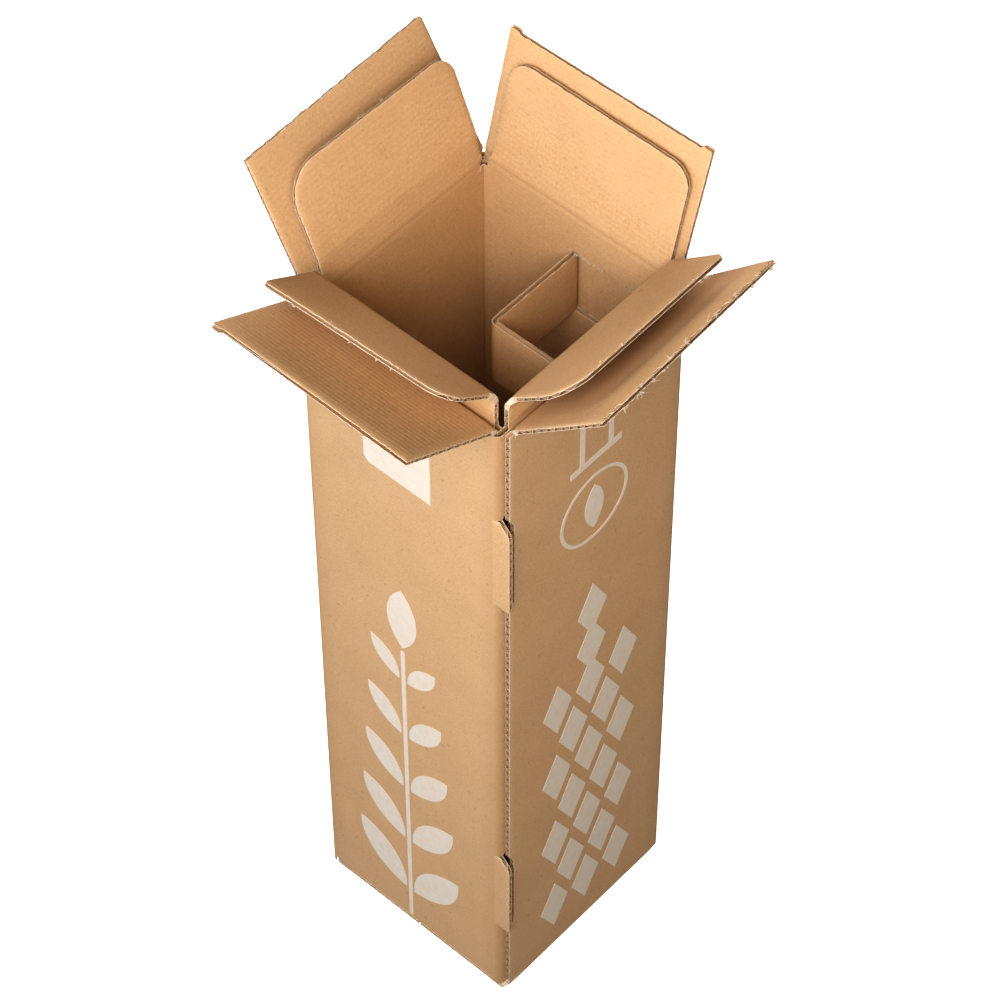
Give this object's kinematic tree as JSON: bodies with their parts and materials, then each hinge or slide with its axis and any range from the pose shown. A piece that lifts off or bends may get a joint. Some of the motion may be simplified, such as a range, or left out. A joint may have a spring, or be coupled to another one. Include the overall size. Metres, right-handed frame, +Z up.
{
  "type": "bottle shipping box",
  "caption": "Tall square corrugated shipping box for a bottle, wound from one sheet into a double wall, with inner and outer top flaps that turn on their creases.",
  "frame": {"origin": "middle of the bottom, on the surface that the box stands on", "axes": "+X to the right along the front face, +Y from the front face to the back, +Z up"},
  "size_m": [0.1993, 0.1912, 0.4987],
  "materials": {
    "kraft_board": "matte",
    "white_ink": "matte"
  },
  "bodies": {
    "sleeve": {"wound_sleeve": "kraft_board", "front_print": "white_ink", "side_print": "white_ink"},
    "outer_flap_front": {"outer_flap_front": "kraft_board"},
    "outer_flap_right": {"outer_flap_right": "kraft_board"},
    "outer_flap_back": {"outer_flap_back": "kraft_board"},
    "outer_flap_left": {"outer_flap_left": "kraft_board"},
    "inner_flap_front": {"inner_flap_front": "kraft_board"},
    "inner_flap_right": {"inner_flap_right": "kraft_board"},
    "inner_flap_back": {"inner_flap_back": "kraft_board"},
    "inner_flap_left": {"inner_flap_left": "kraft_board"}
  },
  "joints": [
    {"name": "outer_crease_front", "type": "hinge", "parent": "sleeve", "child": "outer_flap_front", "pos_m": [0, -0.0588, 0.4362], "axis": [-1, 0, 0], "range_deg": [-113, 20.5]},
    {"name": "outer_crease_right", "type": "hinge", "parent": "sleeve", "child": "outer_flap_right", "pos_m": [0.0588, 0, 0.4329], "axis": [0, -1, 0], "range_deg": [-129.5, 9]},
    {"name": "outer_crease_back", "type": "hinge", "parent": "sleeve", "child": "outer_flap_back", "pos_m": [0, 0.0588, 0.4362], "axis": [1, 0, 0], "range_deg": [-159.5, 0]},
    {"name": "outer_crease_left", "type": "hinge", "parent": "sleeve", "child": "outer_flap_left", "pos_m": [-0.0588, 0, 0.4329], "axis": [0, 1, 0], "range_deg": [-145, 4]},
    {"name": "inner_crease_front", "type": "hinge", "parent": "sleeve", "child": "inner_flap_front", "pos_m": [0, -0.054, 0.4531], "axis": [-1, 0, 0], "range_deg": [-25, 145.5]},
    {"name": "inner_crease_right", "type": "hinge", "parent": "sleeve", "child": "inner_flap_right", "pos_m": [0.054, 0, 0.4498], "axis": [0, -1, 0], "range_deg": [-11, 138.5]},
    {"name": "inner_crease_back", "type": "hinge", "parent": "sleeve", "child": "inner_flap_back", "pos_m": [0, 0.054, 0.4377], "axis": [1, 0, 0], "range_deg": [0, 104.5]},
    {"name": "inner_crease_left", "type": "hinge", "parent": "sleeve", "child": "inner_flap_left", "pos_m": [-0.054, 0, 0.4344], "axis": [0, 1, 0], "range_deg": [-9, 113]}
  ]
}
